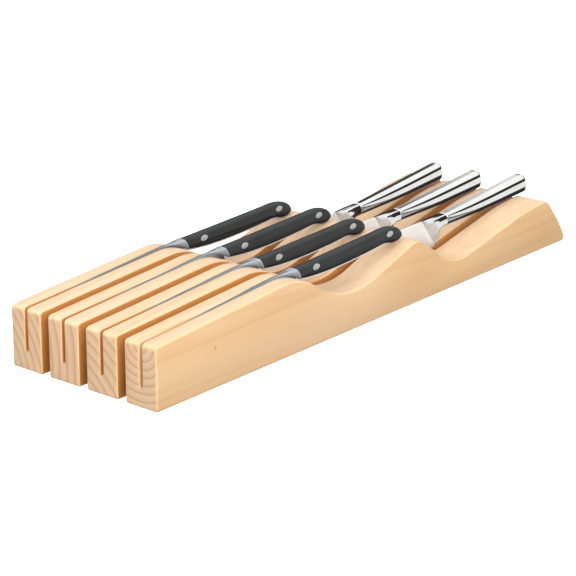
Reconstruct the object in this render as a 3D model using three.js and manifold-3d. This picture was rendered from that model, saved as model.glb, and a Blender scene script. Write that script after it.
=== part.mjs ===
// Drawer knife block with its knives.
//
// Four wooden rails stand side by side with a slot between each two. Every rail has a saw kerf for a
// steak knife, and every slot takes a paring knife. Two valleys across the rails leave room for fingers.
//
// Millimetres. +X runs from the blade tips to the handles, +Y across the block and +Z up. The origin is
// the middle of the underside.

import * as THREE from 'three';
import { mergeVertices } from 'three/addons/utils/BufferGeometryUtils.js';
import Module from 'manifold-3d';

const wasm = await Module();
wasm.setup();

// ---- Driving dimensions ----------------------------------------------------------------------------

const inch = 25.4;

const block = {
  length: 17 * inch,
  rails: 4,
  railWidth: inch,
  slotWidth: inch / 4,
  edgeBevel: 1.2,
};
const railPitch = block.railWidth + block.slotWidth;

// Side outline of a rail: distance from the front end, height, and the radius that rounds the corner.
const railCorners = [
  [0, 0, 0],
  [0, 40, 3],
  [131.8, 49.2, 48], // crest under the steak knives' bolsters
  [175.2, 19.5, 67], // finger valley under the steak knives' handles
  [254, 44.6, 18], // crest under the steak knives' butts
  [292.2, 15.3, 42], // finger valley at the paring knives' guards
  [376, 32.6, 120], // the rise behind it slackens
  [407.6, 35.4, 8], // crest under the paring knives' handles
  [423.5, 16.6, 60], // convex fall to the rear end
  [block.length, 4, 5],
  [block.length, 0, 2],
];

const kerf = { width: 2.4, floor: 12, flatLength: 110, sawRadius: 55, overrun: 6 };
const spacer = { height: 12, start: 38, end: 420, sideGap: 0.1 };

// Steak knife, in its own frame: the origin is the front rivet and +X runs along the handle.
const steak = {
  bladeThickness: 1.8,
  width: 8.4,
  rivetSpan: 3 * inch,
  rivetRadius: 3,
  bolsterEnd: -15.6,
  bolsterStart: -42,
  jointLean: 2,
  scaleBevel: 2.4,
  tangDrop: 1.4,
};

// Front rivet of each steak knife, from the front end and from the underside, and its slope in degrees.
const steakPlaces = [
  { x: 156.3, z: 47.6, slope: 2.4 },
  { x: 157.8, z: 47, slope: 1.8 },
  { x: 161, z: 47.4, slope: 2.1 },
  { x: 157.2, z: 47.1, slope: 1.8 },
];

// Paring knife, in its own frame: the origin is where the bolster meets the handle.
const paring = {
  bladeThickness: 2,
  shoulder: [-25.2, 4],
  heel: [-9, -17.2],
  bladeLength: 3 * inch,
  neckWidth: 8.4,
  neckHeight: 8.4,
  handleLength: 96.5,
  handleWidth: 12.6,
  handleBevel: 2.4,
  handleSlope: 3.9,
  tangStart: -24,
  tangEnd: 30,
  tangHeight: 5,
};

const paringPlaces = [
  { x: 319.5, z: 36.5, slope: 0 },
  { x: 308.5, z: 36, slope: 0 },
  { x: 304.5, z: 34.9, slope: 1.4 },
];

const fitGap = 0.15;
const arcStep = 4;
const roundSides = 16;

// ---- Materials -------------------------------------------------------------------------------------

const pine = new THREE.MeshStandardMaterial({ color: 0xf1c999, roughness: 0.6, metalness: 0 });
const spacerPine = new THREE.MeshStandardMaterial({ color: 0xd9a46c, roughness: 0.7, metalness: 0 });
const bladeSteel = new THREE.MeshStandardMaterial({ color: 0xd5d9dc, roughness: 0.3, metalness: 1 });
const polishedSteel = new THREE.MeshStandardMaterial({ color: 0xe6e8ea, roughness: 0.12, metalness: 1 });
const rivetSteel = new THREE.MeshStandardMaterial({ color: 0xc8cdd0, roughness: 0.35, metalness: 1 });
const blackResin = new THREE.MeshStandardMaterial({ color: 0x2b2e2f, roughness: 0.5, metalness: 0 });

// ---- Solids ----------------------------------------------------------------------------------------

function solid(geometry) {
  const bare = geometry.clone();
  bare.deleteAttribute('normal');
  bare.deleteAttribute('uv');
  const merged = mergeVertices(bare);
  const vertProperties = new Float32Array(merged.attributes.position.array);
  const triVerts = new Uint32Array(merged.index.array);
  return new wasm.Manifold(new wasm.Mesh({ numProp: 3, vertProperties, triVerts }));
}

function geometryOf(manifold) {
  const mesh = manifold.getMesh();
  const geometry = new THREE.BufferGeometry();
  geometry.setAttribute('position', new THREE.BufferAttribute(mesh.vertProperties, 3));
  geometry.setIndex(new THREE.BufferAttribute(mesh.triVerts, 1));
  geometry.computeVertexNormals();
  return geometry;
}

// A side outline in (x, z) made into a plate, centred on y = 0.
function plate(shape, thickness, bevel = 0) {
  const depth = thickness - 2 * bevel;
  const geometry = new THREE.ExtrudeGeometry(shape, {
    depth,
    curveSegments: 5,
    bevelEnabled: bevel > 0,
    bevelThickness: bevel,
    bevelSize: bevel,
    bevelOffset: -bevel,
    bevelSegments: 1,
  });
  geometry.rotateX(Math.PI / 2);
  geometry.translate(0, depth / 2, 0);
  return geometry;
}

// A plan outline in (x, y), from height low to height high.
function slab(shape, low, high) {
  const geometry = new THREE.ExtrudeGeometry(shape, { depth: high - low, bevelEnabled: false });
  geometry.translate(0, 0, low);
  return geometry;
}

// A cross outline in (y, z), from x = start to x = end.
function bar(shape, start, end) {
  const geometry = new THREE.ExtrudeGeometry(shape, { depth: end - start, bevelEnabled: false });
  const across = new THREE.Vector3(0, 1, 0);
  const up = new THREE.Vector3(0, 0, 1);
  const along = new THREE.Vector3(1, 0, 0);
  geometry.applyMatrix4(new THREE.Matrix4().makeBasis(across, up, along));
  geometry.translate(start, 0, 0);
  return geometry;
}

function box(length, width, height, x, z) {
  const geometry = new THREE.BoxGeometry(length, width, height);
  geometry.translate(x, 0, z);
  return geometry;
}

// ---- Outlines --------------------------------------------------------------------------------------

function polygon(points) {
  return new THREE.Shape(points.map(([x, y]) => new THREE.Vector2(x, y)));
}

// A closed outline whose corners [x, y, radius] are rounded by tangent arcs.
function filleted(corners) {
  const points = [];
  corners.forEach(([x, y, radius], index) => {
    const corner = new THREE.Vector2(x, y);
    if (!radius) {
      points.push(corner);
      return;
    }
    const before = new THREE.Vector2(...corners.at(index - 1).slice(0, 2)).sub(corner).normalize();
    const after = new THREE.Vector2(...corners[(index + 1) % corners.length].slice(0, 2));
    after.sub(corner).normalize();
    const clockwise = before.cross(after) > 0;
    const half = Math.acos(before.dot(after)) / 2;
    const toCentre = before.clone().add(after).setLength(radius / Math.sin(half));
    const centre = corner.clone().add(toCentre);
    const reach = radius / Math.tan(half);
    const from = before.multiplyScalar(reach).add(corner).sub(centre).angle();
    const to = after.multiplyScalar(reach).add(corner).sub(centre).angle();
    const steps = Math.max(2, Math.ceil(((Math.PI - 2 * half) * radius) / arcStep));
    const arc = new THREE.EllipseCurve(centre.x, centre.y, radius, radius, from, to, clockwise);
    points.push(...arc.getPoints(steps));
  });
  return new THREE.Shape(points);
}

// A plan outline, the same on both sides of y = 0, from stations [x, half width].
function symmetric(stations) {
  const near = stations.map(([x, half]) => [x, -half]);
  const far = stations.map(([x, half]) => [x, half]).reverse();
  return polygon([...near, ...far]);
}

// A cross outline, the same on both sides of y = 0, from stations [z, half width].
function symmetricCross(stations) {
  const right = stations.map(([z, half]) => [half, z]);
  const left = stations.map(([z, half]) => [-half, z]).reverse();
  return polygon([...right, ...left]);
}

// ---- Block -----------------------------------------------------------------------------------------

// The kerf has a flat floor, and the saw's own radius where it leaves the wood.
function kerfOutline() {
  const outline = new THREE.Shape();
  const top = kerf.floor + kerf.sawRadius;
  outline.moveTo(-kerf.overrun, kerf.floor);
  outline.lineTo(kerf.flatLength, kerf.floor);
  outline.absarc(kerf.flatLength, top, kerf.sawRadius, -Math.PI / 2, 0, false);
  outline.lineTo(-kerf.overrun, top);
  return outline;
}

function railGeometry() {
  const rail = solid(plate(filleted(railCorners), block.railWidth, block.edgeBevel));
  return geometryOf(rail.subtract(solid(plate(kerfOutline(), kerf.width))));
}

function spacerGeometry() {
  const length = spacer.end - spacer.start;
  const width = block.slotWidth - 2 * spacer.sideGap;
  return box(length, width, spacer.height, (spacer.start + spacer.end) / 2, spacer.height / 2);
}

// ---- Steak knife -----------------------------------------------------------------------------------

// Spine, point, cutting edge and heel. The back of the blade runs on into the tang.
function steakBladeOutline() {
  const outline = new THREE.Shape();
  outline.moveTo(-15, 3.6);
  outline.lineTo(steak.bolsterStart, 3.5);
  outline.lineTo(-105, -0.1);
  outline.bezierCurveTo(-120, -1, -134, -5, -141, -9.4);
  outline.bezierCurveTo(-133, -14, -117, -15.8, -97, -16.2);
  outline.lineTo(-33, -17.1);
  outline.bezierCurveTo(-30.8, -13, -27.4, -7, -15, -5);
  return outline;
}

// Handle side: a nearly straight back, a round butt, and a hook ahead of it for the little finger.
// A drop lowers the belly between the bolster and the hook. The front leans back towards its foot.
function steakHandleOutline(start, drop) {
  const outline = new THREE.Shape();
  outline.moveTo(start - steak.jointLean, 3.6);
  outline.bezierCurveTo(20, 3.6, 45, 3.8, 66, 4);
  outline.bezierCurveTo(76, 4.7, 86, 3.4, 90, -1.4);
  outline.bezierCurveTo(93, -5, 90, -8.2, 84, -8.2);
  outline.bezierCurveTo(79, -8.2, 77, -6.1, 70.2, -6.1);
  outline.lineTo(69.4, -6.1 - drop);
  outline.bezierCurveTo(45, -7.6 - drop, 8, -8.4 - drop, start + steak.jointLean, -4.5 - drop / 2);
  return outline;
}

// The bolster flares from the blade's thickness to the handle's width, and its underside rises
// forwards so that it clears the wood beside the kerf.
function steakBolster() {
  const end = steak.bolsterEnd - fitGap;
  const foot = end + steak.jointLean;
  const side = polygon([
    [steak.bolsterStart, 3.5],
    [end - steak.jointLean, 3.6],
    [foot, -4.5],
    [-16.5, -3.2],
    [-22, 0.1],
    [-30, 2.5],
    [steak.bolsterStart, 3],
  ]);
  const plan = symmetric([
    [steak.bolsterStart, steak.bladeThickness / 2],
    [-31, 1.9],
    [-23.5, 3.4],
    [end - steak.jointLean, steak.width / 2],
    [foot, steak.width / 2],
  ]);
  const reach = 10;
  return solid(plate(side, steak.width)).intersect(solid(slab(plan, -reach, reach)));
}

function rivetHole(x) {
  const hole = new THREE.CylinderGeometry(
    steak.rivetRadius + fitGap, steak.rivetRadius + fitGap, 2 * steak.width, roundSides,
  );
  hole.translate(x, 0, 0);
  return solid(hole);
}

function drilled(body) {
  return body.subtract(rivetHole(0)).subtract(rivetHole(steak.rivetSpan));
}

function steakBladeGeometry() {
  const blade = solid(plate(steakBladeOutline(), steak.bladeThickness));
  const tang = solid(plate(steakHandleOutline(-20, steak.tangDrop), steak.bladeThickness));
  return geometryOf(drilled(blade.add(tang)).add(steakBolster()));
}

// side is -1 for the scale on the -Y side and 1 for the one on the +Y side.
function steakScaleGeometry(side) {
  const inner = steak.bladeThickness / 2 + fitGap;
  const outer = steak.width / 2;
  const whole = solid(plate(steakHandleOutline(steak.bolsterEnd, 0), steak.width, steak.scaleBevel));
  const longerThanHandle = 3 * steak.rivetSpan;
  const half = box(longerThanHandle, outer, longerThanHandle, 0, 0);
  half.translate(0, side * (inner + outer / 2), 0);
  return geometryOf(drilled(whole.intersect(solid(half))));
}

function rivetGeometry() {
  return new THREE.CylinderGeometry(steak.rivetRadius, steak.rivetRadius, steak.width, roundSides);
}

// ---- Paring knife ----------------------------------------------------------------------------------

// The blade stops at a slanting line from the shoulder to the heel, where the bolster begins.
function paringBladeOutline() {
  const [shoulderX, shoulderZ] = paring.shoulder;
  const [heelX, heelZ] = paring.heel;
  const tip = heelX - paring.bladeLength;
  const outline = new THREE.Shape();
  outline.moveTo(shoulderX - fitGap, shoulderZ);
  outline.lineTo(tip + 28, 3);
  outline.bezierCurveTo(tip + 16, 2.6, tip + 6, -2, tip, -9.5);
  outline.bezierCurveTo(tip + 8, -15, tip + 22, -17.6, tip + 40, -17.8);
  outline.lineTo(heelX - fitGap, heelZ);
  return outline;
}

// A tang that follows the handle's slope, with clearance added all round when it is a cutter.
function tang(clearance) {
  const end = paring.tangEnd + clearance;
  const length = end - paring.tangStart;
  const width = paring.bladeThickness + 2 * clearance;
  const height = paring.tangHeight + 2 * clearance;
  return box(length, width, height, end - length / 2, 0);
}

function sloped(geometry) {
  return geometry.rotateY(-THREE.MathUtils.degToRad(paring.handleSlope));
}

function paringBladeGeometry() {
  const blade = solid(plate(paringBladeOutline(), paring.bladeThickness));
  return geometryOf(blade.add(solid(sloped(tang(0)))));
}

// Crescent guard and neck. It swells from the blade's thickness to the neck's width, and thins
// towards the heel so that its tip drops into the slot.
function paringBolsterGeometry() {
  const [shoulderX] = paring.shoulder;
  const [, heelZ] = paring.heel;
  const top = paring.neckHeight / 2;
  const half = paring.neckWidth / 2;
  const lean = Math.tan(THREE.MathUtils.degToRad(paring.handleSlope));
  const side = new THREE.Shape();
  side.moveTo(...paring.heel);
  side.lineTo(...paring.shoulder);
  side.bezierCurveTo(-19, 4.4, -9, 4, -fitGap - lean * top, top);
  side.lineTo(-fitGap + lean * top, -top);
  side.bezierCurveTo(-4, -top - 0.3, -7.2, -5.6, -7.7, -10);
  const behind = 1;
  const reach = 20;
  const plan = symmetric([[shoulderX, 1.1], [-19, 2.4], [-12, 3.9], [-8, half], [behind, half]]);
  const cross = symmetricCross([[heelZ, 1.1], [-13, 2.2], [-8, 3.8], [-4, half], [1, half], [5, 2.4]]);
  const outer = solid(plate(side, paring.neckWidth))
    .intersect(solid(slab(plan, -reach, reach)))
    .intersect(solid(bar(cross, shoulderX, behind)));
  return geometryOf(outer.subtract(solid(sloped(tang(fitGap)))));
}

// The handle grows towards its butt, and its underside lies just above the edges of two rails.
function paringHandleGeometry() {
  const length = paring.handleLength;
  const low = paring.neckHeight / 2;
  const side = filleted([
    [fitGap, -low],
    [30, -low - 1, 200],
    [length - 1.5, -6.9, 4],
    [length, 5.7, 5],
    [30, low + 0.4, 200],
    [fitGap, low],
  ]);
  const neck = paring.neckWidth / 2;
  const butt = paring.handleWidth / 2;
  const plan = symmetric([
    [0, neck],
    [25, neck + 0.7],
    [50, neck + 1.7],
    [75, butt - 0.2],
    [length - 4, butt],
    [length + 1, butt - 1.8],
  ]);
  const cross = symmetricCross([[-7, 4.2], [-5.9, 5.2], [-1.8, butt], [1.4, butt], [6, 2.2]]);
  const reach = 12;
  const outer = solid(plate(side, paring.handleWidth, paring.handleBevel))
    .intersect(solid(slab(plan, -reach, reach)))
    .intersect(solid(bar(cross, 0, length)));
  return sloped(geometryOf(outer.subtract(solid(tang(fitGap)))));
}

// ---- Assembly --------------------------------------------------------------------------------------

const model = new THREE.Group();
model.name = 'knife_block';

function addMesh(parent, name, geometry, material) {
  const mesh = new THREE.Mesh(geometry, material);
  mesh.name = name;
  parent.add(mesh);
}

// Rails and slots are numbered from the -Y side.
function railCentre(index) {
  return (index - (block.rails - 1) / 2) * railPitch;
}

function placed(x, y, z, slope = 0) {
  const group = new THREE.Group();
  group.position.set(x - block.length / 2, y, z);
  group.rotation.y = -THREE.MathUtils.degToRad(slope);
  model.add(group);
  return group;
}

const railShape = railGeometry();
for (let index = 0; index < block.rails; index += 1) {
  addMesh(placed(0, railCentre(index), 0), `rail_${index + 1}`, railShape, pine);
}

const spacerShape = spacerGeometry();
for (let index = 0; index < block.rails - 1; index += 1) {
  const group = placed(0, railCentre(index) + railPitch / 2, 0);
  addMesh(group, `spacer_strip_${index + 1}`, spacerShape, spacerPine);
}

const steakBlade = steakBladeGeometry();
const nearScale = steakScaleGeometry(-1);
const farScale = steakScaleGeometry(1);
const rivet = rivetGeometry();
steakPlaces.forEach(({ x, z, slope }, index) => {
  const name = `steak_knife_${index + 1}`;
  const knife = placed(x, railCentre(index), z, slope);
  addMesh(knife, `${name}_blade`, steakBlade, bladeSteel);
  addMesh(knife, `${name}_near_scale`, nearScale, blackResin);
  addMesh(knife, `${name}_far_scale`, farScale, blackResin);
  addMesh(knife, `${name}_front_rivet`, rivet, rivetSteel);
  const rear = rivet.clone().translate(steak.rivetSpan, 0, 0);
  addMesh(knife, `${name}_rear_rivet`, rear, rivetSteel);
});

const paringBlade = paringBladeGeometry();
const paringBolster = paringBolsterGeometry();
const paringHandle = paringHandleGeometry();
paringPlaces.forEach(({ x, z, slope }, index) => {
  const name = `paring_knife_${index + 1}`;
  const knife = placed(x, railCentre(index) + railPitch / 2, z, slope);
  addMesh(knife, `${name}_blade`, paringBlade, bladeSteel);
  addMesh(knife, `${name}_bolster`, paringBolster, polishedSteel);
  addMesh(knife, `${name}_handle`, paringHandle, polishedSteel);
});

export default model;
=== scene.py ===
import math

import bmesh
import bpy
import numpy as np
from mathutils import Matrix, Vector


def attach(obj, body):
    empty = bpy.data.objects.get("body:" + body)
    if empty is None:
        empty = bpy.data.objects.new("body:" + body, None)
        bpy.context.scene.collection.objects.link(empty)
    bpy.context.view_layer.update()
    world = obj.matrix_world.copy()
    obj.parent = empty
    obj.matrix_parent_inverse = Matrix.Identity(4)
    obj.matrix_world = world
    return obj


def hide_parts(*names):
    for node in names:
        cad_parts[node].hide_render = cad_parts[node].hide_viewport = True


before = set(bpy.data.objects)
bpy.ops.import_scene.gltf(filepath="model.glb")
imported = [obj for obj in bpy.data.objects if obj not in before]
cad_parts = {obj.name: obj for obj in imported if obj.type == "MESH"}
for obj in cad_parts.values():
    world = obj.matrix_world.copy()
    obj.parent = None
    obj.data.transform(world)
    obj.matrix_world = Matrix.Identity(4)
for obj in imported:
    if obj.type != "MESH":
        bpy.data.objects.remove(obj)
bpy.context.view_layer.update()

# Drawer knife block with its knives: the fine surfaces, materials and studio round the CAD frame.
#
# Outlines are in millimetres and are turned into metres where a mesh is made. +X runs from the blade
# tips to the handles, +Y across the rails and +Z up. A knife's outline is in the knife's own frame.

# ---- Dimensions, in millimetres and degrees ---------------------------------------------------------

METRE = 1000
INCH = 25.4

BLOCK_LENGTH = 17 * INCH
RAIL_COUNT = 4
RAIL_WIDTH = INCH
RAIL_PITCH = INCH + INCH / 4
RAIL_EDGE = 1.2
RAIL_CORNERS = [  # distance from the front end, height, radius
    (0, 0, 0),
    (0, 40, 3),
    (131.8, 49.2, 48),
    (175.2, 19.5, 67),
    (254, 44.6, 18),
    (292.2, 15.3, 42),
    (376, 32.6, 120),
    (407.6, 35.4, 8),
    (423.5, 16.6, 60),
    (BLOCK_LENGTH, 4, 5),
    (BLOCK_LENGTH, 0, 2),
]
RAIL_STATION = 2.2
FRONT_CORNER = 3.2
REAR_FOOT = 2.0

KERF_HALF = 1.2
KERF_MOUTH = 0.35
KERF_FLARE = 0.6
KERF_FLOOR = 12
KERF_FLAT = 110
SAW_RADIUS = 55
SPACER_EASE = 0.6

STEAK_PLACES = [(156.3, 47.6, 2.4), (157.8, 47.0, 1.8), (161.0, 47.4, 2.1), (157.2, 47.1, 1.8)]
PARING_PLACES = [(319.5, 36.5, 0.0), (308.5, 36.0, 0.0), (304.5, 34.9, 1.4)]

RIVET_SPAN = 3 * INCH
RIVET_LENGTH = 6.6
RIVET_HEIGHT = 3.9
STEAK_WIDTH = 8.4
STEAK_BLADE = 1.8
BOLSTER_START = -42.0
BOLSTER_END = -15.6
COLLAR_START = -17.0
COLLAR_PROUD = 0.12
JOINT_LEAN = 2.0
JOINT_SLANT = 0.48

PARING_BLADE = 2.0
PARING_LENGTH = 3 * INCH
GRIND_START = 0.25
EDGE_HALF = 0.12
HANDLE_SLOPE = 3.9
HANDLE_LENGTH = 96.5
HANDLE_BUTT = 3.2
BUTT_DRAW = 2.4
FRONT_EASE = 0.15
NECK = 4.2
FIT_GAP = 0.15
MITER_LIMIT = 0.6


# ---- Geometry helpers -------------------------------------------------------------------------------

def bezier(start, first, second, end, steps):
    """Points of a cubic curve, without its last one."""
    t = np.arange(steps)[:, None] / steps
    a, b, c, d = (np.array(p, float) for p in (start, first, second, end))
    return (1 - t) ** 3 * a + 3 * (1 - t) ** 2 * t * b + 3 * (1 - t) * t**2 * c + t**3 * d


def line(start, end, steps):
    """Points of a straight stretch, without its last one."""
    t = np.arange(steps)[:, None] / steps
    return (1 - t) * np.array(start, float) + t * np.array(end, float)


def smooth(xs, stations):
    """A smooth curve's value at xs, through (x, value) stations, flat beyond both ends."""
    sx, sy = np.array(stations, float).T
    slope = np.gradient(sy, sx)
    xs = np.clip(xs, sx[0], sx[-1])
    i = np.clip(np.searchsorted(sx, xs) - 1, 0, len(sx) - 2)
    h = sx[i + 1] - sx[i]
    t = (xs - sx[i]) / h
    hermite = (
        (1 + 2 * t) * (1 - t) ** 2 * sy[i] + t * (1 - t) ** 2 * h * slope[i]
        + t**2 * (3 - 2 * t) * sy[i + 1] + t**2 * (t - 1) * h * slope[i + 1]
    )
    return hermite


def arc(centre, radius, start, end, steps):
    """Points (u, v) on an arc, both ends included. Angles are in degrees."""
    angles = np.radians(np.linspace(start, end, steps + 1))
    return np.stack([centre[0] + radius * np.cos(angles), centre[1] + radius * np.sin(angles)], 1)


def filleted(corners, step=0.8):
    """A closed outline whose corners (x, z, radius) are rounded by tangent arcs."""
    points = []
    for i, (x, z, radius) in enumerate(corners):
        corner = Vector((x, z))
        if not radius:
            points.append(tuple(corner))
            continue
        before = (Vector(corners[i - 1][:2]) - corner).normalized()
        after = (Vector(corners[(i + 1) % len(corners)][:2]) - corner).normalized()
        half = before.angle(after) / 2
        centre = corner + (before + after).normalized() * radius / math.sin(half)
        start = corner + before * radius / math.tan(half) - centre
        turn = math.pi - 2 * half
        turn = -turn if before.cross(after) > 0 else turn
        steps = max(3, math.ceil(abs(turn) * radius / step))
        for k in range(steps + 1):
            spoke = start.copy()
            spoke.rotate(Matrix.Rotation(turn * k / steps, 2))
            points.append(tuple(centre + spoke))
    return np.array(points)


def inset(outline, distance):
    """A closed (x, z) outline moved inwards by distance, whichever way round it runs."""
    ahead = np.roll(outline, -1, 0) - outline
    ahead /= np.linalg.norm(ahead, axis=1)[:, None]
    normal = np.stack([-ahead[:, 1], ahead[:, 0]], 1)
    area = np.sum(outline[:, 0] * np.roll(outline[:, 1], -1) - np.roll(outline[:, 0], -1) * outline[:, 1])
    normal *= np.sign(area)
    both = normal + np.roll(normal, 1, 0)
    both /= np.linalg.norm(both, axis=1)[:, None]
    miter = np.maximum(np.sum(both * normal, 1), MITER_LIMIT)
    return outline + both * (distance / miter)[:, None]


def at(outline, y):
    """An (x, z) outline as points in space, at one y."""
    return np.stack([outline[:, 0], np.full(len(outline), float(y)), outline[:, 1]], 1)


def loft(rings):
    """(points, faces) of a skin over rings with the same number of points, closed by end faces."""
    count = len(rings[0])
    faces = []
    for r in range(len(rings) - 1):
        for k in range(count):
            n = (k + 1) % count
            faces.append((r * count + k, r * count + n, (r + 1) * count + n, (r + 1) * count + k))
    faces.append(tuple(range(count)))
    last = (len(rings) - 1) * count
    faces.append(tuple(last + k for k in range(count)))
    return np.concatenate(rings), faces


def placed(points, place, y, slope=0.0):
    """Points from a knife's own frame, turned by slope about y, at a place (x from the front, z, slope)."""
    x0, z0, knife_slope = place
    angle = math.radians(knife_slope + slope)
    x = x0 - BLOCK_LENGTH / 2 + points[:, 0] * math.cos(angle) - points[:, 2] * math.sin(angle)
    z = z0 + points[:, 0] * math.sin(angle) + points[:, 2] * math.cos(angle)
    return np.stack([x, points[:, 1] + y, z], 1)


def make(name, skin, material, body, nodes, slot, crease=35):
    """A Blender object from a (points, faces) skin in millimetres, tied to its CAD body and nodes.

    Glossy pieces mirror the studio and not each other.
    """
    points, faces = skin
    mesh = bpy.data.meshes.new(name)
    mesh.from_pydata([tuple(p) for p in points / METRE], [], faces)
    shape = bmesh.new()
    shape.from_mesh(mesh)
    bmesh.ops.recalc_face_normals(shape, faces=shape.faces)
    shape.to_mesh(mesh)
    shape.free()
    mesh.shade_smooth()
    mesh.set_sharp_from_angle(angle=math.radians(crease))
    mesh.materials.append(material)
    piece = bpy.data.objects.new(name, mesh)
    piece.visible_glossy = False
    bpy.context.scene.collection.objects.link(piece)
    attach(piece, body)
    if nodes:
        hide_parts(*nodes)


# ---- Materials --------------------------------------------------------------------------------------

class Shader:
    """A material's node tree, built by short calls. Each call returns the new node's output."""

    def __init__(self, name):
        self.material = bpy.data.materials.new(name)
        self.material.use_nodes = True
        self.tree = self.material.node_tree
        self.surface = self.tree.nodes["Principled BSDF"]

    def node(self, kind, inputs, output=0, **settings):
        node = self.tree.nodes.new("ShaderNode" + kind)
        for key, value in settings.items():
            setattr(node, key, value)
        for key, value in inputs.items():
            self.put(node.inputs[key], value)
        return node.outputs[output]

    def put(self, socket, value):
        if isinstance(value, bpy.types.NodeSocket):
            self.tree.links.new(value, socket)
        else:
            socket.default_value = value

    def math(self, operation, a, b=0.0):
        return self.node("Math", {0: a, 1: b}, operation=operation)

    def position(self):
        """The point on the object, in metres in the part's frame."""
        return self.node("TexCoord", {}, "Object")

    def facing(self, axis):
        """How far the surface looks along an axis, from -1 to 1."""
        return self.node("SeparateXYZ", {0: self.node("TexCoord", {}, "Normal")}, axis)

    def stretched(self, vector, scale, offset=(0, 0, 0)):
        return self.node("Mapping", {"Vector": vector, "Scale": scale, "Location": offset})

    def noise(self, vector, scale, detail=2.0, roughness=0.5):
        inputs = {"Vector": vector, "Scale": scale, "Detail": detail, "Roughness": roughness}
        return self.node("TexNoise", inputs)

    def ramp(self, value, stops):
        """Grey stops (position, brightness), straight between them."""
        node = self.tree.nodes.new("ShaderNodeValToRGB")
        self.put(node.inputs[0], value)
        elements = node.color_ramp.elements
        while len(elements) < len(stops):
            elements.new(0.5)
        for element, (position, grey) in zip(elements, stops):
            element.position = position
            element.color = (grey, grey, grey, 1)
        return node.outputs[0]

    def span(self, value, low, high, to_low=0.0, to_high=1.0):
        """A value's place between low and high, given as a number between to_low and to_high."""
        inputs = {0: value, 1: low, 2: high, 3: to_low, 4: to_high}
        return self.node("MapRange", inputs)

    def mix(self, factor, a, b):
        """Colour a, or colour b as factor reaches 1."""
        node = self.tree.nodes.new("ShaderNodeMix")
        node.data_type = "RGBA"
        self.put(node.inputs[0], factor)
        self.put(node.inputs[6], a)
        self.put(node.inputs[7], b)
        return node.outputs[2]

    def bump(self, height, strength, distance):
        return self.node("Bump", {"Height": height, "Strength": strength, "Distance": distance})

    def finish(self, **inputs):
        for key, value in inputs.items():
            self.put(self.surface.inputs[key.replace("_", " ")], value)
        return self.material


def pine(name, pith, tone, offset):
    """Pine sawn along X. pith is the (y, z) of the tree's centre line, in metres.

    Growth rings run round the pith and drift along the board. Upward faces are painted paler and less
    saturated, a painted sheen; walls inside the slots and the wood near the foot and the rear end are
    painted darker, painted shade; and faces across the grain show the rings as end grain.
    """
    s = Shader(name)
    light, warm, painted_top_sheen, dark, slot_shade, end_light, end_dark = (
        (*tone[key], 1) for key in ("light", "warm", "painted_top_sheen", "late", "slot_shade", "end", "end_late")
    )
    position = s.position()
    along, across, up = (s.node("SeparateXYZ", {0: position}, axis) for axis in range(3))
    shifted = s.stretched(position, (1, 1, 1), offset)
    drift = s.math("SUBTRACT", s.noise(s.stretched(shifted, (3.5, 16, 16)), 1.0, 2.5), 0.5)
    beside = s.math("ADD", s.math("SUBTRACT", across, pith[0]), s.math("MULTIPLY", drift, 0.012))
    above = s.math("ADD", s.math("SUBTRACT", up, pith[1]), s.math("MULTIPLY", along, tone["lean"]))
    radius = s.node("VectorMath", {0: s.node("CombineXYZ", {1: beside, 2: above})}, 1, operation="LENGTH")
    year = s.math("FRACT", s.math("DIVIDE", radius, tone["ring"]))
    late = s.ramp(year, [(0.0, 0.35), (0.1, 0.0), (0.5, 0.08), (0.78, 0.45), (0.92, 1.0), (1.0, 0.35)])
    fibre = s.noise(s.stretched(shifted, (9, 900, 900)), 1.0, 3.0, 0.6)
    streak = s.noise(s.stretched(shifted, (2.5, 90, 90)), 1.0, 3.0, 0.55)
    cloud = s.noise(s.stretched(shifted, (6, 22, 22)), 1.0, 3.0)
    forwards, sideways, upwards = (s.facing(axis) for axis in range(3))

    early_wood = s.mix(s.span(cloud, 0.35, 0.65), light, warm)
    # Painted sheen: faces that look up are mixed towards a paler, less saturated colour, as the top light
    # would whiten them.
    early_wood = s.mix(s.span(upwards, 0.5, 0.95, 0.0, 0.6), early_wood, painted_top_sheen)
    ringed = s.math("MULTIPLY", late, s.span(streak, 0.35, 0.65, 0.06, 0.5))
    grain = s.mix(ringed, early_wood, dark)
    # Painted shade: the wood is streaked darker towards the foot of the rails and towards the rear end.
    low = s.math("MULTIPLY", s.span(up, 0.034, 0.008), s.span(along, -0.12, 0.2, 0.25, 1.0))
    low = s.math("MULTIPLY", low, s.span(streak, 0.35, 0.65, 0.1, 0.5))
    grain = s.mix(low, grain, dark)
    grain = s.mix(s.span(fibre, 0.3, 0.75, 0.0, 0.1), grain, dark)

    # Painted shade: faces that look across the rails, the walls inside the slots, are mixed towards a dark
    # orange-brown; the block's two outer sides get none.
    near_slot_shade = s.span(sideways, -0.8, -0.95, 0.0, tone["near_slot_shade"])
    far_slot_shade = s.span(sideways, 0.8, 0.95, 0.0, tone["far_slot_shade"])
    grain = s.mix(s.math("ADD", near_slot_shade, far_slot_shade), grain, slot_shade)
    knot = s.node("VectorMath", {0: position, 1: tone["knot"]}, 1, operation="DISTANCE")
    grain = s.mix(s.span(knot, 0.0013, 0.0004, 0.0, 0.8), grain, end_dark)

    pores = s.noise(position, 1600.0, 2.0)
    end_grain = s.mix(s.math("MULTIPLY", late, 0.7), end_light, end_dark)
    end_grain = s.mix(s.span(pores, 0.4, 0.7, 0.0, 0.18), end_grain, end_dark)
    end = s.span(s.math("ABSOLUTE", forwards), 0.9, 0.99)
    colour = s.mix(end, grain, end_grain)
    relief = s.math("ADD", s.math("MULTIPLY", fibre, 0.6), s.math("MULTIPLY", late, 0.4))
    roughness = s.span(streak, 0.3, 0.7, 0.38, 0.5)
    return s.finish(Base_Color=colour, Roughness=roughness, Normal=s.bump(relief, 0.12, 0.0002),
                    Specular_IOR_Level=0.3)


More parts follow.
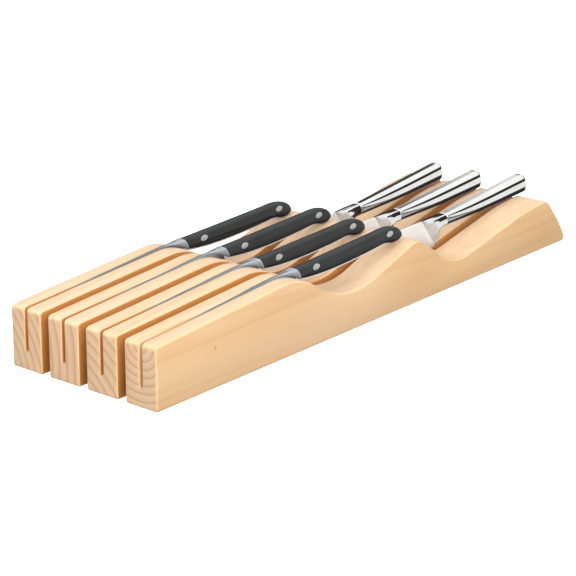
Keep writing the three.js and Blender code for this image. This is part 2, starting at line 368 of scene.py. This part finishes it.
def black_resin():
    """Moulded black plastic with a fine satin grit."""
    s = Shader("black_resin")
    position = s.position()
    cloud = s.noise(position, 60.0, 3.0)
    grit = s.noise(position, 2600.0, 2.0, 0.6)
    colour = s.mix(s.span(cloud, 0.3, 0.7), (0.016, 0.018, 0.0185, 1), (0.024, 0.026, 0.0265, 1))
    roughness = s.span(grit, 0.3, 0.7, 0.4, 0.54)
    return s.finish(Base_Color=colour, Roughness=roughness, Normal=s.bump(grit, 0.1, 0.00015))


def ground_steel(name, light, dark, rough, metallic=1.0, depth=0.05):
    """Steel with fine grinding lines along it. depth is how strongly they stand out."""
    s = Shader(name)
    position = s.position()
    grind = s.noise(s.stretched(position, (40, 40, 2200)), 1.0, 3.0, 0.6)
    cloud = s.noise(position, 45.0, 2.0)
    colour = s.mix(s.span(cloud, 0.3, 0.7), (*dark, 1), (*light, 1))
    worn = s.span(cloud, 0.3, 0.7, rough, rough + 0.04)
    roughness = s.math("ADD", s.span(grind, 0.3, 0.7, -0.05, 0.05), worn)
    return s.finish(Base_Color=colour, Metallic=metallic, Roughness=roughness,
                    Normal=s.bump(grind, depth, 0.00006))


def polished_steel():
    """Mirror polish, with faces that look forwards, such as the guard's flare, left satin."""
    s = Shader("polished_steel")
    position = s.position()
    scratch = s.noise(s.stretched(position, (60, 1800, 1800)), 1.0, 4.0, 0.65)
    smear = s.noise(position, 70.0, 3.0)
    satin = s.span(s.facing(0), -0.12, -0.35)
    bright = s.mix(s.span(smear, 0.35, 0.7), (0.86, 0.86, 0.85, 1), (0.93, 0.93, 0.92, 1))
    colour = s.mix(satin, bright, (0.84, 0.84, 0.83, 1))
    roughness = s.math("ADD", s.span(smear, 0.3, 0.7, 0.06, 0.1), s.span(scratch, 0.5, 0.8, 0.0, 0.05))
    roughness = s.math("ADD", roughness, s.math("MULTIPLY", satin, 0.32))
    return s.finish(Base_Color=colour, Metallic=s.span(satin, 0, 1, 1.0, 0.3), Roughness=roughness)


CREAM = {  # colours of cream-coloured pine, with its painted top sheen and painted slot shade, and how strongly the painted slot shade darkens its near and far sides
    "light": (0.85, 0.59, 0.355), "warm": (0.81, 0.515, 0.26), "painted_top_sheen": (0.83, 0.61, 0.435),
    "late": (0.64, 0.36, 0.14), "slot_shade": (0.55, 0.20, 0.02), "end": (0.71, 0.48, 0.305),
    "end_late": (0.42, 0.25, 0.13), "near_slot_shade": 0.85, "far_slot_shade": 0.85, "ring": 0.0038, "lean": 0.0,
    "knot": (0, 0, -1),
}

RAIL_GRAIN = [  # pith beside each rail's middle and above its foot, in metres, and what sets it apart
    {"pith": (0.0005, 0.036), "lean": 0.012, "ring": 0.0050, "near_slot_shade": 0.0,
     "knot": (-0.1649, -0.0603, 0.026)},
    {"pith": (0.045, -0.030), "lean": -0.02, "ring": 0.0062},
    {"pith": (0.080, 0.010), "lean": 0.01, "ring": 0.0066},
    {"pith": (0.070, -0.012), "lean": -0.01, "ring": 0.0060, "far_slot_shade": 0.0},
]


def rail_material(index, centre):
    """Each rail is another piece of wood, with its own pith and grain."""
    grain = RAIL_GRAIN[index]
    pith = (centre / METRE + grain["pith"][0], grain["pith"][1])
    return pine(f"pine_{index + 1}", pith, {**CREAM, **grain}, (0.31 * index, 0.17 * index, 0.05 * index))


# ---- Block ------------------------------------------------------------------------------------------

RAIL_PROFILE = filleted(RAIL_CORNERS)
RAIL_TOP = RAIL_PROFILE[1:np.argmax(RAIL_PROFILE[:, 0]) + 1]


def rail_top(x):
    """Height of a rail's top at a distance from the front end."""
    return float(np.interp(x, RAIL_TOP[:, 0], RAIL_TOP[:, 1]))


def kerf_floor(x):
    """Height of the saw kerf's floor, which rises in the saw's own curve."""
    if x <= KERF_FLAT:
        return KERF_FLOOR
    run = min(x - KERF_FLAT, SAW_RADIUS)
    return KERF_FLOOR + SAW_RADIUS - math.sqrt(SAW_RADIUS**2 - run**2)


def rounding(radius, distance):
    """How far a round edge has drawn back at a distance from the face it meets."""
    return radius - math.sqrt(radius**2 - max(radius - distance, 0.0) ** 2)


def rail_section(x):
    """The rail's (y, z) ring at x: foot, side, rounded edge, top, kerf, and the same on the other side."""
    height = rail_top(x)
    eased = rounding(RAIL_EDGE, x)
    floor_z = eased + rounding(REAR_FOOT, BLOCK_LENGTH - x)
    half = RAIL_WIDTH / 2 - max(eased, rounding(RAIL_EDGE, BLOCK_LENGTH - x))
    edge = min(RAIL_EDGE, (height - floor_z) / 3)
    foot = arc((-half + edge, floor_z + edge), edge, 270, 180, 3)
    shoulder = arc((-half + edge, height - edge), edge, 180, 90, 4)
    depth = max(height - kerf_floor(x), 0.0)
    mouth = min(KERF_MOUTH + eased, depth / 2)
    kerf = KERF_HALF + KERF_FLARE * eased
    lip = arc((-kerf - mouth, height - mouth), mouth, 90, 0, 3)
    floor = np.array([[-kerf, height - depth]])
    open_half = np.concatenate([lip, floor])
    spread = np.linspace(-KERF_HALF - KERF_MOUTH, -KERF_HALF / 3, len(open_half))
    flat_half = np.stack([spread, np.full(len(spread), height)], 1)
    openness = min(depth / 3, 1.0)
    kerf_half = openness * open_half + (1 - openness) * flat_half
    left = np.concatenate([foot, shoulder, kerf_half])
    right = left[::-1] * (-1, 1)
    return np.concatenate([left, right])


def rail_stations():
    """Distances from the front end, close together where both ends are rounded."""
    front = FRONT_CORNER * (1 - np.cos(np.linspace(0, math.pi / 2, 11)))
    count = round((BLOCK_LENGTH - REAR_FOOT - FRONT_CORNER) / RAIL_STATION)
    body = np.linspace(FRONT_CORNER, BLOCK_LENGTH - REAR_FOOT, count)[1:]
    rear = BLOCK_LENGTH - REAR_FOOT * (1 - np.sin(np.linspace(0, math.pi / 2, 8)))
    return np.concatenate([front, body, rear[1:]])


def rail_centre(index):
    """A rail's y. Rails are numbered from the near side, and the slots follow them."""
    return (index - (RAIL_COUNT - 1) / 2) * RAIL_PITCH


def make_rail(index):
    """A rail as rings across its length, with its kerf running in from the front end."""
    centre = rail_centre(index)
    rings = []
    for x in rail_stations():
        section = rail_section(x)
        along = np.full(len(section), x - BLOCK_LENGTH / 2)
        rings.append(np.stack([along, section[:, 0] + centre, section[:, 1]], 1))
    material = rail_material(index, centre)
    name = f"rail_{index + 1}"
    make(f"{name}_wood", loft(rings), material, "block", [name], "pine")


def dress_spacers():
    """The spacer strips keep their CAD shape, with their edges eased."""
    material = pine("pine_spacer", (0.0, -0.04), CREAM, (0.7, 0.2, 0.4))
    for index in range(RAIL_COUNT - 1):
        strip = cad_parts[f"spacer_strip_{index + 1}"]
        strip.data.materials.clear()
        strip.data.materials.append(material)
        bevel = strip.modifiers.new("eased_edges", "BEVEL")
        bevel.width = SPACER_EASE / METRE
        bevel.segments = 2


# ---- Steak knives -----------------------------------------------------------------------------------

FRONT_POINTS = 8
STEAK_TIP = -141.0
STEAK_HEEL = -33.0
STEAK_FOOT = -4.5


def steak_outline(start, drop, top=0.0):
    """Handle side: a nearly straight back, a round butt, and a hook ahead of it.

    drop lowers the belly and top lowers the back. The last points are the slanting front.
    """
    head = (start - JOINT_LEAN, 3.6 - top)
    foot = (start + JOINT_LEAN, STEAK_FOOT - drop / 2)
    return np.concatenate([
        bezier(head, (20, 3.6 - top), (45, 3.8 - top), (66, 4.0 - top), 26),
        bezier((66, 4.0 - top), (76, 4.7 - top), (86, 3.4), (90, -1.4), 18),
        bezier((90, -1.4), (93, -5), (90, -8.2), (84, -8.2), 16),
        bezier((84, -8.2), (79, -8.2), (77, -6.1 - drop / 2), (70.2, -6.1 - drop), 12),
        bezier((70.2, -6.1 - drop), (45, -7.6 - drop), (8, -8.4 - drop), foot, 26),
        line(foot, head, FRONT_POINTS),
    ])


CROWN_DEPTH = 3.9
CROWN_REACH = 3.0
CROWN_POWER = 2.2
CROWN_LIP = 0.6
SCALE_INNER = 0.05


def crown(distance):
    """Half width of the crowned handle at a distance in from its side outline."""
    rise = 1 - np.clip(distance, 0, CROWN_REACH) / CROWN_DEPTH
    return CROWN_LIP + (STEAK_WIDTH / 2 - CROWN_LIP) * (1 - rise**CROWN_POWER) ** (1 / CROWN_POWER)


def scale_skin(side):
    """One scale: flat towards the tang, with its edges rolled over into a crowned outer face."""
    start = BOLSTER_END + FIT_GAP
    outline = steak_outline(start, 0)
    rings = [at(outline, side * SCALE_INNER)]
    for reach in CROWN_REACH * (1 - np.cos(np.linspace(0, math.pi / 2, 11))):
        ring = inset(outline, reach)
        front = np.r_[-FRONT_POINTS:1]
        rise = ring[front, 1] - STEAK_FOOT
        ring[front, 0] = start + JOINT_LEAN - JOINT_SLANT * rise + 0.04 * reach
        rings.append(at(ring, side * crown(reach)))
    return loft(rings)


def plate_skin(outline, thickness, ease):
    """A flat plate, centred on y = 0, with eased edges."""
    half = thickness / 2
    rings = []
    for y, reach in ((-half, ease), (-half + ease, 0), (half - ease, 0), (half, ease)):
        rings.append(at(inset(outline, reach), y))
    return loft(rings)


def wedge_skin(stations, thickness):
    """A blade from stations (x, spine z, edge z, share of the full thickness).

    It keeps its thickness down to the grind, a share of its depth below the spine, and then tapers.
    """
    rings = []
    for x, spine, cutting, taper in stations:
        half = thickness / 2 * taper
        grind = spine - GRIND_START * (spine - cutting)
        profile = [
            (-half * 0.8, spine), (half * 0.8, spine), (half, spine - 0.2 * taper), (half, grind),
            (EDGE_HALF, cutting + 0.3), (0.0, cutting), (-EDGE_HALF, cutting + 0.3), (-half, grind),
            (-half, spine - 0.2 * taper),
        ]
        rings.append(np.array([(x, y, z) for y, z in profile]))
    return loft(rings)


def steak_blade_stations():
    """(x, spine, edge, share of the full thickness) from the point to the tang."""
    spine = [(STEAK_TIP, -9.4), (-138.5, -7.6), (-132, -4.9), (-122, -2.0), (-105, -0.1), (-75, 1.6),
             (BOLSTER_START, 3.4), (-12, 3.5)]
    cutting = [(STEAK_TIP, -9.6), (-138.5, -10.9), (-132, -12.9), (-122, -14.6), (-105, -15.8),
               (-60, -16.8), (STEAK_HEEL, -17.1), (-29, -12.5), (-24, -7.5), (-12, -4.6)]
    point = np.linspace(STEAK_TIP + 0.1, -117, 16)
    body = np.linspace(-113, STEAK_HEEL, 22)
    heel = np.linspace(-32, -16, 9)
    stations = []
    for x in np.concatenate([point, body, heel]):
        top = float(smooth(x, spine))
        bottom = min(float(smooth(x, cutting)), top - 0.5)
        taper = np.interp(x, [STEAK_TIP, -117, -60], [0.4, 0.8, 1.0])
        stations.append((x, top, bottom, taper))
    return stations


def bolster_skin():
    """The flare from blade to handle. It ends in a bright collar with the handle's own section."""
    top = [(BOLSTER_START, 3.4), (-30, 3.5), (BOLSTER_END, 3.55)]
    bottom = [(BOLSTER_START, 3.0), (-36, 2.8), (-30, 2.3), (-25, 0.9), (-20, -1.5),
              (COLLAR_START, -3.4), (BOLSTER_END, -4.45)]
    half = [(BOLSTER_START, 0.9), (-36, 1.1), (-30, 1.6), (-25, 2.4), (-20, 3.4),
            (COLLAR_START, 4.0), (BOLSTER_END, 4.15)]
    slant = [(-36, 0.0), (-24, 0.7 * JOINT_SLANT), (-19, JOINT_SLANT), (BOLSTER_END, JOINT_SLANT)]
    angles = np.linspace(0, 2 * math.pi, 48, endpoint=False)
    c, s = np.cos(angles), np.sin(angles)
    rings = []
    end = BOLSTER_END - FIT_GAP
    for x in np.concatenate([np.linspace(BOLSTER_START, -17.4, 28), [-16.9, end - 0.4, end]]):
        proud = COLLAR_PROUD if COLLAR_START < x < end else 0.0
        high, low, width = (float(smooth(x, stations)) for stations in (top, bottom, half))
        middle, tall = (high + low) / 2, (high - low) / 2
        square = float(smooth(x, [(-36, 0.9), (-24, 0.6), (COLLAR_START, 0.5)]))
        y = (width + proud) * np.sign(c) * np.abs(c) ** square
        z = middle + (tall + proud) * np.sign(s) * np.abs(s) ** square
        lean = float(smooth(x, slant))
        rings.append(np.stack([x - lean * (z + 0.4), y, z], 1))
    return loft(rings)


def rivet_skin(x, back, belly):
    """A rivet ground flush with the crowned scales. back and belly are the outline above and below it."""
    head = [(1.0, -0.3), (1.0, 0.03), (0.95, 0.1), (0.68, 0.14), (0.6, 0.03), (0.52, 0.03), (0.44, 0.1),
            (0.1, 0.14)]  # share of the head's size, height above the crown
    angles = np.linspace(0, 2 * math.pi, 40, endpoint=False)
    rings = []
    for side, stations in ((-1, reversed(head)), (1, head)):
        for share, out in stations:
            z = share * RIVET_HEIGHT / 2 * np.sin(angles)
            distance = np.minimum(back - z, z - belly)
            y = side * (crown(distance) + out)
            rings.append(np.stack([x + share * RIVET_LENGTH / 2 * np.cos(angles), y, z], 1))
    return loft(rings)


def make_steak_knife(index, metals):
    """A forged knife standing in its rail's kerf. Bolster and tang have no CAD node of their own."""
    place = STEAK_PLACES[index]
    centre = rail_centre(index)
    name = f"steak_knife_{index + 1}"

    def piece(part, skin, material, slot, nodes=(), crease=35):
        points, faces = skin
        skin = (placed(points, place, centre), faces)
        make(f"{name}_{part}", skin, material, name, [f"{name}_{n}" for n in nodes], slot, crease)

    blade = wedge_skin(steak_blade_stations(), STEAK_BLADE)
    piece("forging", blade, metals["spine"], "blade_steel", ["blade"])
    piece("bolster_flare", bolster_skin(), metals["bolster"], "blade_steel", crease=50)
    tang = plate_skin(steak_outline(BOLSTER_END - 2, 1.4, 0.9), STEAK_BLADE, 0.15)
    piece("full_tang", tang, metals["tang"], "blade_steel")
    for side, part in ((-1, "near_scale"), (1, "far_scale")):
        piece(f"{part}_moulding", scale_skin(side), metals["resin"], "black_resin", [part])
    rivets = ((0, "front_rivet", 3.6, -6.0), (RIVET_SPAN, "rear_rivet", 4.2, -7.0))
    for x, part, back, belly in rivets:
        piece(f"{part}_heads", rivet_skin(x, back, belly), metals["rivet"], "rivet_steel", [part])


# ---- Paring knives ----------------------------------------------------------------------------------

HEEL = (-9.0, -17.2)
SHOULDER = (-25.2, 4.0)


def paring_blade_stations():
    """(x, spine, edge, share of the full thickness) from the point to the slanting line of the guard."""
    tip = HEEL[0] - PARING_LENGTH
    spine = [(tip, -9.4), (tip + 1.5, -7.2), (tip + 5, -3.4), (tip + 11, 0.0), (tip + 18, 2.1),
             (tip + 28, 2.95), (SHOULDER[0], 3.95), (HEEL[0], 4.0)]
    cutting = [(tip, -9.6), (tip + 1.5, -10.9), (tip + 5, -13.0), (tip + 11, -15.4), (tip + 20, -17.0),
               (tip + 40, -17.7), HEEL]
    stations = []
    point = np.linspace(tip + 0.1, tip + 18, 18)
    body = np.linspace(tip + 20, -27, 14)
    under_guard = np.linspace(SHOULDER[0], HEEL[0] - 0.2, 12)
    for x in np.concatenate([point, body, under_guard]):
        top = float(smooth(x, spine))
        if x > SHOULDER[0]:
            top = SHOULDER[1] + (x - SHOULDER[0]) * (HEEL[1] - SHOULDER[1]) / (HEEL[0] - SHOULDER[0])
        bottom = min(float(smooth(x, cutting)), top - 0.4)
        taper = np.interp(x, [tip, tip + 20, tip + 45], [0.4, 0.8, 1.0])
        stations.append((x, top, bottom, taper))
    return stations


def round_ring(near):
    """A closed ring from its near half (x, z, half width), which starts and ends on y = 0."""
    half = [(x, -width, z) for x, z, width in near]
    mirrored = [(x, width, z) for x, z, width in reversed(near[1:-1])]
    return np.array(half + mirrored)


def subdivided(keys, steps=3):
    """Key points with straight points between them."""
    keys = np.array(keys, float)
    stretches = [line(a, b, steps) for a, b in zip(keys[:-1], keys[1:])]
    return np.concatenate([*stretches, keys[-1:]])


def guard_skin():
    """The guard flares from the blade to a crease, and the faceted neck runs on to the handle."""
    lean = math.tan(math.radians(HANDLE_SLOPE))
    run = np.array(SHOULDER) - np.array(HEEL)
    shares = (0, 0.1, 0.28, 0.5, 0.72, 0.9, 1.0)
    front = [(HEEL[0] + run[0] * f, HEEL[1] + run[1] * f, 1.05 if f else 0.0) for f in shares]
    front.append((SHOULDER[0] + 0.1, SHOULDER[1] + 0.05, 0.0))
    crease = [(-8.8, -17.1, 0), (-8.3, -14.4, 1.9), (-8.0, -10.4, 3.0), (-9.5, -6.0, 4.0),
              (-12.2, -1.2, 4.2), (-15.6, 2.2, 3.5), (-18.6, 3.9, 2.3), (-19.0, 4.15, 0)]
    behind = [(-7.7, -11.0, 0), (-7.5, -9.2, 2.0), (-7.4, -6.4, 3.2), (-8.2, -3.4, 4.2), (-9.2, 0.6, 4.2),
              (-11.5, 3.2, 3.15), (-13.0, 4.1, 2.4), (-13.2, 4.2, 0)]
    bend = [(-5.2, -5.3, 0), (-5.2, -4.9, 1.4), (-5.2, -4.2, 2.5), (-5.2, -2.4, 4.2), (-5.4, 1.1, 4.15),
            (-6.0, 3.55, 3.05), (-6.2, 4.15, 2.4), (-6.2, 4.2, 0)]
    section = [(-NECK, 0), (-NECK, 1.2), (-NECK + 0.3, 2.2), (-2.2, 4.2), (1.1, 4.15), (3.6, 3.05),
               (4.15, 2.4), (NECK, 0)]
    joint = [(-FIT_GAP - lean * z, z, width) for z, width in section]
    keys = [np.array(k, float) for k in (front, crease, behind, bend, joint)]
    rings = []
    for a, b, steps in zip(keys[:-1], keys[1:], (5, 3, 3, 3)):
        for k in range(steps):
            blend = k / steps
            rings.append(round_ring(subdivided((1 - blend) * a + blend * b)))
    rings.append(round_ring(subdivided(keys[-1])))
    return loft(rings)


def rounded(corners, soft=0.3, per_corner=4):
    """A closed (y, z) section through corners, each rounded off by a small curve."""
    points = []
    total = len(corners)
    for i in range(total):
        corner = Vector(corners[i])
        before = Vector(corners[i - 1]) - corner
        after = Vector(corners[(i + 1) % total]) - corner
        reach = min(soft, before.length / 2.2, after.length / 2.2)
        start = corner + before.normalized() * reach
        end = corner + after.normalized() * reach
        for k in range(per_corner):
            t = k / (per_corner - 1)
            points.append((1 - t) ** 2 * start + 2 * t * (1 - t) * corner + t**2 * end)
    return np.array([tuple(p) for p in points])


def handle_corners(x):
    """Corners (y, z) of the faceted handle at x.

    Below the ridge the side has two facets, and the lower one tapers away towards the butt. Each facet
    is given by its height and by its lean from the upright, in degrees.
    """
    cap = float(smooth(x, [(0, 1.9), (20, 2.0), (92, 2.2)]))
    top = float(smooth(x, [(0, 4.2), (30, 4.6), (60, 5.1), (92, 5.65)]))
    bottom = float(smooth(x, [(0, -4.2), (30, -5.1), (60, -6.2), (92, -6.85)]))
    shoulder = top - float(smooth(x, [(0, 0.4), (30, 0.5), (92, 0.6)]))
    flank = shoulder - float(smooth(x, [(0, 0.7), (20, 1.1), (92, 1.6)]))
    ridge = flank - float(smooth(x, [(0, 0.6), (15, 1.2), (50, 1.8), (92, 1.9)]))
    belly = float(smooth(x, [(0, -1.9), (20, -2.0), (45, -2.1), (92, -2.5)]))
    sweep = [(0, ridge - 0.1), (4, 1.2), (12, 0.1), (22, -0.9), (32, -1.6), (45, -1.95), (92, -2.35)]
    sweep = float(smooth(x, sweep))
    sweep = max(sweep, belly + 0.12)
    ledge = min(0.4, (sweep - belly) * 0.4)

    def out(degrees, height):
        return math.tan(math.radians(degrees)) * height

    shoulder_y = cap + out(64, top - shoulder)
    flank_y = shoulder_y + out(42, shoulder - flank)
    ridge_y = flank_y + out(24, flank - ridge)
    sweep_y = ridge_y + out(7, ridge - sweep)
    ledge_y = sweep_y - 0.7 * ledge
    belly_y = ledge_y - out(4, sweep - ledge - belly)
    keel = bottom + 0.9
    keel_y = belly_y - out(14, belly - keel)
    near = [(-cap, top), (-shoulder_y, shoulder), (-flank_y, flank), (-ridge_y, ridge), (-sweep_y, sweep),
            (-ledge_y, sweep - ledge), (-belly_y, belly), (-keel_y, keel), (-keel_y + 1.2, bottom)]
    far = [(-y, z) for y, z in reversed(near)]
    return near + far


def handle_skin():
    """The faceted handle, closed by a butt that rounds over in its last few millimetres."""
    straight = HANDLE_LENGTH - HANDLE_BUTT
    butt = straight + HANDLE_BUTT * np.sin(np.radians([25, 45, 60, 72, 81, 87]))
    rings = []
    for x in np.concatenate([[FIT_GAP], np.linspace(0.5, straight, 44), butt]):
        section = rounded(handle_corners(min(x, straight)))
        over = max(x - straight, 0) / HANDLE_BUTT
        reach = BUTT_DRAW * (1 - math.sqrt(max(1 - over**2, 0.0)))
        if x == FIT_GAP:
            reach = FRONT_EASE
        section = section * (1 - reach / np.abs(section).max(0))
        rings.append(np.stack([np.full(len(section), x), section[:, 0], section[:, 1]], 1))
    return loft(rings)


def make_paring_knife(index, metals):
    """A steel-handled knife standing in the slot beyond the rail of the same number."""
    place = PARING_PLACES[index]
    centre = rail_centre(index) + RAIL_PITCH / 2
    name = f"paring_knife_{index + 1}"

    def piece(part, skin, material, slot, node, slope=0.0, crease=35):
        points, faces = skin
        skin = (placed(points, place, centre, slope), faces)
        make(f"{name}_{part}", skin, material, name, [f"{name}_{node}"], slot, crease)

    blade = wedge_skin(paring_blade_stations(), PARING_BLADE)
    piece("ground_blade", blade, metals["blade"], "blade_steel", "blade")
    piece("guard_and_neck", guard_skin(), metals["polished"], "polished_steel", "bolster", crease=18)
    piece("handle_shell", handle_skin(), metals["polished"], "polished_steel", "handle",
          HANDLE_SLOPE, crease=50)


# ---- Studio -----------------------------------------------------------------------------------------

CAMERA_PLACE = (-1.0306, -0.8373, 0.4617)
CAMERA_BACK = (-0.7269, -0.6055, 0.3243)  # from what it looks at, back towards the camera
CAMERA_LENS = 131.1


def make_camera():
    """A long lens beyond the front corner, looking down by about 19 degrees."""
    data = bpy.data.cameras.new("camera")
    data.lens = CAMERA_LENS
    data.sensor_width = 36
    camera = bpy.data.objects.new("camera", data)
    back = Vector(CAMERA_BACK).normalized()
    right = Vector((0, 0, 1)).cross(back).normalized()
    up = back.cross(right)
    turn = Matrix((right, up, back)).transposed().to_4x4()
    camera.matrix_world = Matrix.Translation(CAMERA_PLACE) @ turn
    bpy.context.scene.collection.objects.link(camera)
    bpy.context.scene.camera = camera


def make_floor():
    """A pale floor that also glows, for an even white ground."""
    reach = 6.0
    mesh = bpy.data.meshes.new("floor")
    corners = [(-reach, -reach, 0), (reach, -reach, 0), (reach, reach, 0), (-reach, reach, 0)]
    mesh.from_pydata(corners, [], [(0, 1, 2, 3)])
    s = Shader("floor_paint")
    grit = s.noise(s.position(), 40.0, 2.0)
    colour = s.mix(grit, (0.93, 0.93, 0.93, 1), (0.95, 0.95, 0.95, 1))
    mesh.materials.append(s.finish(Base_Color=colour, Roughness=0.9, Emission_Color=(1, 1, 1, 1),
                                   Emission_Strength=0.8))
    floor = bpy.data.objects.new("floor", mesh)
    floor.visible_glossy = False
    floor.visible_diffuse = False
    bpy.context.scene.collection.objects.link(floor)


def add_area(name, place, aim, size, power):
    """A soft rectangular light, which the polished steel doesn't mirror."""
    data = bpy.data.lights.new(name, "AREA")
    data.shape = "RECTANGLE"
    data.size, data.size_y = size
    data.energy = power
    light = bpy.data.objects.new(name, data)
    light.location = place
    light.visible_glossy = False
    light.rotation_euler = (Vector(aim) - Vector(place)).to_track_quat("-Z", "Y").to_euler()
    bpy.context.scene.collection.objects.link(light)


WORLD_BANDS = [  # height of a direction, as the sine of its elevation, and its brightness
    (-1.0, 0.02), (-0.47, 0.03), (-0.43, 0.35), (-0.38, 0.55), (-0.34, 1.0), (0.08, 1.0), (0.12, 0.03),
    (0.33, 0.03), (0.38, 0.9), (0.45, 1.15), (1.0, 1.15),
]
DARK_CARD = (0.649, 0.605, 0.462)  # its direction
DARK_CARD_REACH = (0.992, 0.9965)  # cosines of the angles from its middle to its outer and inner rim


def make_world():
    """A studio of white walls with dark bands and a dark card, which the polished steel mirrors."""
    world = bpy.data.worlds.new("studio")
    bpy.context.scene.world = world
    world.use_nodes = True
    tree = world.node_tree

    def node(kind, inputs, **settings):
        new = tree.nodes.new("ShaderNode" + kind)
        for key, value in settings.items():
            setattr(new, key, value)
        for key, value in inputs.items():
            if isinstance(value, bpy.types.NodeSocket):
                tree.links.new(value, new.inputs[key])
            else:
                new.inputs[key].default_value = value
        return new

    direction = node("TexCoord", {}).outputs["Generated"]
    height = node("SeparateXYZ", {0: direction}).outputs[2]
    height = node("MapRange", {0: height, 1: -1.0, 2: 1.0}).outputs[0]
    bands = node("ValToRGB", {0: height})
    elements = bands.color_ramp.elements
    while len(elements) < len(WORLD_BANDS):
        elements.new(0.5)
    for element, (sine, grey) in zip(elements, WORLD_BANDS):
        element.position = (sine + 1) / 2
        element.color = (grey, grey, grey, 1)
    towards_card = Vector(DARK_CARD).normalized()
    nearness = node("VectorMath", {0: direction, 1: towards_card}, operation="DOT_PRODUCT")
    low, high = DARK_CARD_REACH
    card = node("MapRange", {0: nearness.outputs["Value"], 1: low, 2: high, 3: 1.0, 4: 0.05}).outputs[0]
    light = node("VectorMath", {0: bands.outputs[0], 1: card}, operation="MULTIPLY").outputs[0]
    background = tree.nodes["Background"]
    tree.links.new(light, background.inputs[0])
    background.inputs[1].default_value = 0.9


def make_studio():
    """Camera, floor, walls and three soft lights."""
    make_camera()
    make_floor()
    make_world()
    add_area("top_light", (-0.45, -0.2, 1.6), (-0.1, 0, 0), (1.2, 1.0), 4.6)
    add_area("side_light", (-0.75, -1.35, 0.65), (-0.1, 0, 0), (1.2, 0.8), 15)
    add_area("end_light", (-1.8, -0.2, 0.7), (0, 0, 0), (0.9, 0.9), 13)
    scene = bpy.context.scene
    scene.view_settings.view_transform = "Standard"
    scene.view_settings.look = "None"


# ---- Assembly ---------------------------------------------------------------------------------------

def build():
    """Every piece of wood and every knife, and then the studio."""
    for index in range(RAIL_COUNT):
        make_rail(index)
    dress_spacers()
    blade = ground_steel("blade_steel", (0.94, 0.93, 0.91), (0.88, 0.87, 0.85), 0.3, 0.35, 0.015)
    metals = {
        "blade": blade,
        "spine": ground_steel("spine_steel", (0.46, 0.50, 0.50), (0.36, 0.40, 0.41), 0.3),
        "bolster": ground_steel("bolster_steel", (0.50, 0.56, 0.61), (0.40, 0.45, 0.50), 0.36, 0.6),
        "tang": blade,
        "rivet": ground_steel("rivet_steel", (0.62, 0.64, 0.64), (0.52, 0.54, 0.54), 0.3, 0.5),
        "resin": black_resin(),
        "polished": polished_steel(),
    }
    for index in range(len(STEAK_PLACES)):
        make_steak_knife(index, metals)
    for index in range(len(PARING_PLACES)):
        make_paring_knife(index, metals)
    make_studio()


build()
